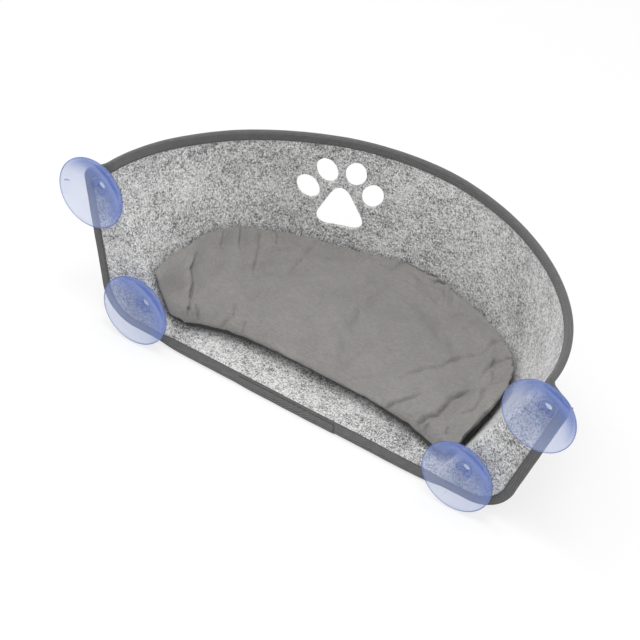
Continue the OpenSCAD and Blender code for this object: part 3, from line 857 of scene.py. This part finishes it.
def cup_outline():
    """Half section of a cup: radius, and distance from the glass. A few small offsets round its edges."""
    points = [(0, cup_hollow + dimple_depth), (dimple_r / 2, cup_hollow + dimple_depth),
              (dimple_r * 0.8, cup_hollow + dimple_depth * 0.7)]
    for k in range(dish_steps + 1):
        r = dimple_r + (cup_r - lip_w - dimple_r) * k / dish_steps
        points.append((r, hollow_at(r)))
    points += [(cup_r - 0.5, 0), (cup_r - 0.12, 0.12), (cup_r, 0.45), (cup_r, cup_rim_t - 0.25)]
    for k in range(dish_steps - 1, 0, -1):
        r = hub_r + (cup_r - hub_r) * k / dish_steps
        points.append((r, back_at(r)))
    points += [(hub_r + 0.6, hub_start + 0.15), (hub_r + 0.1, hub_start + 0.8), (hub_r, hub_start + 1.6),
               (hub_r, hub_end - 0.5), (hub_r - 0.5, hub_end), (neck_r, hub_end), (neck_r, button_start),
               (button_r, button_start), (button_r, button_start + button_t * 0.6),
               (button_r - 0.4, button_start + button_t * 0.85), (button_r - 1.2, button_start + button_t),
               (0, button_start + button_t)]
    return points


def add_cup(name, x, z, turn, material):
    bm = bmesh.new()
    profile = [bm.verts.new((r * mm, y * mm, 0)) for r, y in cup_outline()]
    edges = [bm.edges.new(pair) for pair in zip(profile, profile[1:])]
    bmesh.ops.spin(bm, geom=profile + edges, axis=(0, 1, 0), cent=(0, 0, 0), angle=full_turn,
                   steps=cup_steps, use_merge=True)
    bmesh.ops.remove_doubles(bm, verts=bm.verts, dist=touching / 2)
    bmesh.ops.recalc_face_normals(bm, faces=bm.faces)
    cup = add_piece(name + "_moulding", bm, material, sharp=cup_sharp_angle)
    ribs = bmesh.new()
    start = cup_r - lip_w - mark_l
    low, high = back_at(start + mark_l) - mark_h, back_at(start) + mark_h
    for half in (0, math.pi):
        block = bmesh.ops.create_cube(ribs, size=1)["verts"]
        bmesh.ops.scale(ribs, verts=block, vec=(mark_l * mm, (high - low) * mm, mark_w * mm))
        bmesh.ops.translate(ribs, verts=block, vec=((start + mark_l / 2) * mm, (low + high) / 2 * mm, 0))
        bmesh.ops.rotate(ribs, verts=block, matrix=Matrix.Rotation(-math.radians(turn) + half, 3, "Y"))
    combine(cup, add_piece(name + "_ribs", ribs, None, smooth=False), "UNION")
    cup.data.transform(Matrix.Translation((x * mm, 0, z * mm)))
    bm = bmesh.new()
    bm.from_mesh(cup.data)
    radius = bm.verts.layers.float.new("radius")
    for v in bm.verts:
        v[radius] = math.hypot(v.co.x - x * mm, v.co.z - z * mm)
    write_mesh(bm, cup.data, sharp=cup_sharp_angle)
    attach(cup, name)
    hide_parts(name)


# The cushion

cushion_left, cushion_right = 180.0, 172.0
cushion_back_y, cushion_front_y, cushion_tip_y = 223.0, 58.0, 22.0
cushion_gap, seam_h, seam_lift = 0.8, 12.0, 0.2
outline_back_power, outline_front_power, front_bend_power, outline_mid_share = 2.15, 22.0, 3.0, 0.29


def floor_height(x, y):
    """Height of the bowl's inner face over a place in plan, in millimetres."""
    low, high = 0.0, float(rows)
    for _ in range(height_halvings):
        r = (low + high) / 2
        p, half, deep = plan_power(r), fold_corner(r).x, max(1e-9, middle(r)[0])
        if (abs(x) / half) ** p + (max(0.0, y - wing_y) / deep) ** p > 1:
            low = r
        else:
            high = r
    return height_at(low, min(1.0, abs(x) / fold_corner(low).x))


def seam_points(count):
    """The seam's line round the cushion, in millimetres."""
    half, shift = (cushion_left + cushion_right) / 2, (cushion_right - cushion_left) / 2
    mid_y = cushion_tip_y + (cushion_back_y - cushion_tip_y) * outline_mid_share
    points = []
    for k in range(count):
        a = full_turn * k / count
        c = math.cos(a)
        edge_y, power = cushion_back_y, outline_back_power
        if math.sin(a) < 0:
            edge_y = cushion_front_y + (cushion_tip_y - cushion_front_y) * abs(c) ** front_bend_power
            power = outline_front_power
        share = max(0.0, 1 - abs(c) ** power) ** (1 / power)
        x, y = shift + half * c, mid_y + (edge_y - mid_y) * share
        points.append(Vector((x, y, floor_height(x, y) + cushion_gap + seam_h + seam_lift)))
    return points


# Creases of the cover, in millimetres: each has its line from the front to the back, its depth and its width
creases = [
    ([(-150, 34, -68), (-155, 47, -50), (-160, 55, -41), (-164, 60, -26), (-168, 76, -20)], 4.4, 3.0),
    ([(-136, 42, -68), (-140, 45, -60), (-147, 46, -52)], 2.4, 2.4),
    ([(-113, 47, -68), (-112, 57, -60)], 2.0, 2.4),
    ([(-107, 57, -58), (-115, 75, -52)], 1.5, 2.6),
    ([(-91, 53, -68), (-95, 64, -56)], 1.5, 2.4),
    ([(-106, 86, -52), (-99, 128, -44), (-100, 171, -41), (-102, 204, -32)], 1.3, 5.0),
    ([(-126, 120, -44), (-137, 145, -29), (-143, 156, -20)], 1.7, 3.4),
    ([(-149, 128, -26), (-158, 142, -14)], 2.0, 2.4),
    ([(-127, 159, -29), (-131, 170, -22)], 2.0, 2.4),
    ([(-157, 112, -18), (-165, 122, -12)], 1.8, 2.4),
    ([(66, 77, -56), (82, 102, -48), (96, 115, -42), (103, 142, -46), (118, 154, -40), (119, 174, -36),
      (128, 184, -30)], 2.3, 3.8),
    ([(25, 64, -64), (36, 72, -60), (50, 82, -56)], 1.0, 2.6),
    ([(134, 115, -36), (135, 133, -37), (134, 145, -38), (139, 151, -34), (150, 158, -26)], 2.7, 3.2),
    ([(147, 70, -45), (152, 74, -35), (150, 89, -34), (144, 103, -35), (148, 110, -35), (160, 114, -28)],
     2.7, 2.7),
    ([(116, 46, -73), (114, 51, -62), (120, 56, -55), (125, 62, -54), (127, 70, -48), (127, 83, -48),
      (130, 93, -47), (137, 103, -43)], 3.3, 3.3),
    ([(76, 50, -70), (77, 57, -64), (85, 63, -59), (92, 68, -54), (99, 77, -52)], 2.4, 2.7),
    ([(125, 43, -68), (123, 48, -59), (126, 52, -54)], 1.8, 2.0),
    ([(146, 46, -55), (143, 53, -50)], 1.8, 2.0),
    ([(27, 213, -38), (34, 224, -30)], 2.8, 2.8),
    ([(52, 200, -40), (45, 215, -37)], 2.2, 2.8),
    ([(62, 189, -43), (68, 198, -40)], 1.2, 2.6),
    ([(83, 178, -42), (90, 198, -34)], 1.0, 3.2),
    ([(-50, 200, -39), (-48, 216, -34)], 1.6, 2.6),
    ([(-18, 208, -38), (-14, 222, -32)], 1.8, 2.6),
    ([(-30, 152, -48), (-26, 172, -43), (-25, 200, -38)], 0.8, 4.5),
    ([(128, 172, -32), (142, 176, -24)], 1.8, 2.6),
]
crease_reach, crease_spread, end_fade = 30, 4, 5
valley_at, valley_w, ridge_at, ridge_w, ridge_share = 0.3, 0.6, -1.2, 1.0, 0.6


def near_line(point, out, line):
    """Distance over the surface from a line of points, with its sign, and the share of the line there."""
    best, share = math.inf, 0.0
    spans = len(line) - 1
    for n, (a, b) in enumerate(zip(line, line[1:])):
        run = b - a
        t = clamp01((point - a).dot(run) / run.length_squared)
        away = point - a - run * t
        away -= out * away.dot(out)
        gap = away.length
        if gap < abs(best):
            best, share = math.copysign(gap, -run.cross(away).dot(out)), (n + t) / spans
    return best, share


def crease_depth(point, out, crease_lines):
    """Depth of the creases at a point: each is a ridge that drops into a sharper valley."""
    total = 0.0
    for line, depth, width in crease_lines:
        if all(abs(point.x - p.x) > crease_reach or abs(point.y - p.y) > crease_reach for p in line):
            continue
        gap, share = near_line(point, out, line)
        u = gap / width
        if abs(u) < crease_spread:
            fade = min(1.0, end_fade * share + 0.3, end_fade * (1 - share) + 0.2)
            valley = math.exp(-((u - valley_at) / valley_w) ** 2)
            total += depth * fade * (valley - ridge_share * math.exp(-((u - ridge_at) / ridge_w) ** 2))
    return total


def height_over(place, tree):
    """Height of a place over the felt's face, square to it."""
    spot, normal, _, _ = tree.find_nearest(place)
    return (place - spot).dot(normal)


def push_clear(piece, tree, gap):
    """Moves the piece's points that lie under the felt's face, or too near it, to that gap above it."""
    for v in piece.data.vertices:
        spot, normal, _, _ = tree.find_nearest(v.co)
        height = (v.co - spot).dot(normal)
        if height < gap:
            v.co = v.co + normal * (gap - height)


# The cushion's slide over the felt, in millimetres: where each part begins, over what length, and how far
left_end_x, left_end_l, left_slide, left_front_slide = -108, 66, 3, 16
left_front_y, left_front_l, left_front_way = 105, 55, 0.9
right_half_x, right_half_l, right_back_y, right_back_l, right_slide = -70, 110, 55, 60, 10
wing_clearance = 6


def left_share(place):
    """How far a place is into the cushion's left end, from 0 to 1."""
    share = clamp01((left_end_x - place.x / mm) / left_end_l)
    return share ** 2 * (3 - 2 * share)


def slid(place, tree):
    """A place on the cushion after it has slid over the felt, as thick as before: the left end to the front
    and up the side, the right half up the back."""
    x, y = place.x / mm, place.y / mm
    left = left_share(place)
    right = clamp01((x - right_half_x) / right_half_l) * clamp01((y - right_back_y) / right_back_l)
    if left <= 0 and right <= 0:
        return place
    front = clamp01((left_front_y - y) / left_front_l)
    spot, normal, _, _ = tree.find_nearest(place)
    height = (place - spot).dot(normal)
    way = Vector((-1, -left_front_way * front, 0))
    way -= normal * way.dot(normal)
    up = Vector((0, 0, 1)) - normal * normal.z
    way = way.normalized() * (left_slide + left_front_slide * front)
    spot = spot + (way * left + up * right_slide * right) * mm
    spot.y = max(spot.y, (wing_y + wing_clearance) * mm)
    spot, normal, _, _ = tree.find_nearest(spot)
    return spot + normal * height


def tree_of(points):
    tree = KDTree(len(points))
    for k, p in enumerate(points):
        tree.insert(p, k)
    tree.balance()
    return tree


cover_mesh, seam_steps, seam_hold = 4 * mm, 900, 4.2 * mm
fill_frames, most_fill = 20, 6 * mm
cloth_settings = {"quality": 6, "mass": 0.25, "tension_stiffness": 18, "compression_stiffness": 18,
                  "shear_stiffness": 6, "bending_stiffness": 0.12, "shrink_min": -0.045,
                  "use_pressure": True, "uniform_pressure_force": 3.0}


def add_cover():
    """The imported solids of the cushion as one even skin."""
    bm = bmesh.new()
    for name in ("cushion_top_panel", "cushion_bottom_panel", "cushion_filling"):
        bm.from_mesh(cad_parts[name].data)
    bmesh.ops.remove_doubles(bm, verts=bm.verts, dist=touching)
    cushion = add_piece("cushion_cover", bm, None)
    cushion.data.materials.clear()
    remesh = cushion.modifiers.new("shape", "REMESH")
    remesh.mode, remesh.voxel_size, remesh.adaptivity = "VOXEL", cover_mesh, 0.0
    settle(cushion)
    return cushion


def fill_out(cushion, seam_tree):
    """Fills the cover as cloth under pressure, held along its seam, and limits how far it swells."""
    rest = [v.co.copy() for v in cushion.data.vertices]
    pins = cushion.vertex_groups.new(name="seam")
    for v in cushion.data.vertices:
        if seam_tree.find(v.co)[2] < seam_hold:
            pins.add([v.index], 1.0, "REPLACE")
    fill = cushion.modifiers.new("fill", "CLOTH")
    fill.settings.vertex_group_mass = "seam"
    for name, value in cloth_settings.items():
        setattr(fill.settings, name, value)
    fill.settings.effector_weights.gravity = 0
    fill.collision_settings.use_collision = False
    for step in range(1, fill_frames + 1):
        scene.frame_set(step)
    settle(cushion)
    scene.frame_set(1)
    for v, was in zip(cushion.data.vertices, rest):
        move = v.co - was
        if move.length > most_fill:
            v.co = was + move * (most_fill / move.length)


cushion_middle = Vector((-4, 120, 0)) * mm
side_reach, side_fade = 26, 8
all_smoothing, end_smoothing = 2, 12
front_y, front_y_fade, front_x, front_x_fade = 95, 35, 170, 30
tuck_in, tuck_in_front, tuck_from, tuck_fade = 1.5, 1.5, 0.5, 5
bulge_out, bulge_out_front, bulge_h, bulge_w = 0.6, 1.2, 4, 5


def tuck(spot, point):
    """How far the cover's side lies in below the seam, less how far it bulges out above it, in millimetres.
    Both are larger along the front."""
    rise = (point.z - spot.z) / mm
    front = clamp01((front_y - spot.y / mm) / front_y_fade) * clamp01((front_x - spot.x / mm) / front_x_fade)
    near = clamp01((side_reach - (point - spot).length / mm) / side_fade)
    below = clamp01((tuck_from - rise) / tuck_fade) * near
    above = math.exp(-((rise - bulge_h) / bulge_w) ** 2)
    return below * (tuck_in + tuck_in_front * front) - above * (bulge_out + bulge_out_front * front)


def lay_in_bowl(cushion, seam_tree, felt_tree):
    """Slides the cushion to where it lies in the photograph, tucks its sides in and makes it smooth."""
    ends = cushion.vertex_groups.new(name="left_end")
    for v in cushion.data.vertices:
        ends.add([v.index], left_share(v.co), "REPLACE")
        v.co = slid(v.co, felt_tree)
        spot, _, gap = seam_tree.find(v.co)
        if gap < side_reach * mm:
            inward = (cushion_middle - Vector((spot.x, spot.y, 0))).normalized()
            v.co += inward * tuck(spot, v.co) * mm
    push_clear(cushion, felt_tree, cushion_gap * mm)
    for steps, group in ((all_smoothing, ""), (end_smoothing, "left_end")):
        smooth = cushion.modifiers.new("smooth", "SMOOTH")
        smooth.iterations, smooth.factor, smooth.vertex_group = steps, 0.5, group
    finer = cushion.modifiers.new("finer", "SUBSURF")
    finer.levels = finer.render_levels = 2
    settle(cushion)


seam_groove, seam_groove_w = 1.5, 2.4
gather_depth, gather_reach, gather_limit = 2.0, 12, 34
gather_rate, gather_drift, gather_power = 0.105, 0.006, 1.2
crease_gap, lowest_facing = 0.6, -0.2


def crease(cushion, seam_tree, felt_tree):
    """Presses in the seam's groove, the gathers beside it and the creases."""
    lines = [([slid(Vector(p) * mm, felt_tree) / mm if p[0] > right_half_x else Vector(p) for p in line],
              depth, width) for line, depth, width in creases]
    normals = [v.normal.copy() for v in cushion.data.vertices]
    for v, out in zip(cushion.data.vertices, normals):
        _, place, gap = seam_tree.find(v.co)
        gap /= mm
        depth = seam_groove * math.exp(-(gap / seam_groove_w) ** 2)
        if gap < gather_limit:
            pull = noise.noise((place * gather_rate, 0.3 + gap * gather_drift, 5))
            depth += gather_depth * max(0.0, pull) ** gather_power * math.exp(-gap / gather_reach)
        if out.z > lowest_facing:
            depth += crease_depth(v.co / mm, out, lines) * clamp01((out.z - lowest_facing) * 2)
        v.co = v.co - out * depth * mm
    push_clear(cushion, felt_tree, crease_gap * mm)


def add_cushion(felt_tree, material):
    """The padded cushion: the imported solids' form, filled out as cloth, laid in the bowl and creased."""
    cushion = add_cover()
    seam = [p * mm for p in seam_points(seam_steps)]
    fill_out(cushion, tree_of(seam))
    seam = [slid(p, felt_tree) for p in seam]
    seam_tree = tree_of(seam)
    lay_in_bowl(cushion, seam_tree, felt_tree)
    crease(cushion, seam_tree, felt_tree)
    # Each point's height over the seam, from which the cloth paints shade below the seam
    heights = [height_over(p, felt_tree) for p in seam]
    over_seam = cushion.data.attributes.new("over_seam", "FLOAT", "POINT")
    over_seam.data.foreach_set("value", [height_over(v.co, felt_tree) - heights[seam_tree.find(v.co)[1]]
                                         for v in cushion.data.vertices])
    for face in cushion.data.polygons:
        face.use_smooth = True
    cushion.data.materials.append(material)
    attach(cushion, "cushion")
    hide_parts("cushion_top_panel", "cushion_bottom_panel", "cushion_filling")


# Floor and light

floor_size, floor_drop = 9, 0.5 * mm
bowl_middle = (0, 0.1, 0)
world_strength = 0.73


def add_floor(material):
    bm = bmesh.new()
    bmesh.ops.create_grid(bm, x_segments=1, y_segments=1, size=floor_size)
    floor = add_piece("floor", bm, material)
    floor.data.transform(Matrix.Translation((0, 0, cad_corners[0].z - floor_drop)))


def add_lamp(name, place, size, power):
    """A round soft lamp that points at the bowl."""
    data = bpy.data.lights.new(name, "AREA")
    data.shape, data.size, data.energy = "DISK", size, power
    lamp = bpy.data.objects.new(name, data)
    scene.collection.objects.link(lamp)
    lamp.location = place
    lamp.rotation_mode = "QUATERNION"
    lamp.rotation_quaternion = (Vector(place) - Vector(bowl_middle)).to_track_quat("Z", "Y")


def set_world():
    """White light from all round, which the camera, reflections and clear pieces see as full white."""
    world = bpy.data.worlds.new("studio")
    scene.world = world
    world.use_nodes = True
    tree = world.node_tree
    light, seen = tree.nodes["Background"], tree.nodes.new("ShaderNodeBackground")
    for background, strength in ((light, world_strength), (seen, 1.0)):
        background.inputs["Color"].default_value = (1, 1, 1, 1)
        background.inputs["Strength"].default_value = strength
    path, mix = tree.nodes.new("ShaderNodeLightPath"), tree.nodes.new("ShaderNodeMixShader")
    share = path.outputs["Is Camera Ray"]
    for kind in ("Is Glossy Ray", "Is Transmission Ray"):
        total = tree.nodes.new("ShaderNodeMath")
        total.use_clamp = True
        tree.links.new(share, total.inputs[0])
        tree.links.new(path.outputs[kind], total.inputs[1])
        share = total.outputs[0]
    tree.links.new(share, mix.inputs[0])
    tree.links.new(light.outputs[0], mix.inputs[1])
    tree.links.new(seen.outputs[0], mix.inputs[2])
    tree.links.new(mix.outputs[0], tree.nodes["World Output"].inputs["Surface"])


def build():
    felt_tree = felt_face_tree()
    add_felt(felt_finish())
    tape, thread_and_shadow_line = tape_finish(), thread_and_shadow_line_finish()
    frames, total = edge_frames()
    add_binding(frames, total, tape)
    add_overlap(frames, tape, thread_and_shadow_line)
    add_stitches(frames, total, thread_and_shadow_line)
    plastic = cup_finish()
    for name, (x, z, turn) in cup_places.items():
        add_cup(name, x, z, turn, plastic)
    add_cushion(felt_tree, cloth_finish())
    add_floor(floor_finish())
    add_lamp("left_side", (-0.75, -0.05, 1.70), 0.55, 5)
    add_lamp("ceiling", (0.15, -0.45, 1.95), 0.6, 8)
    add_lamp("window_side", (0.40, -1.20, 1.60), 1.3, 6)
    set_world()
    scene.view_settings.view_transform = "Standard"


build()
bpy.context.view_layer.update()
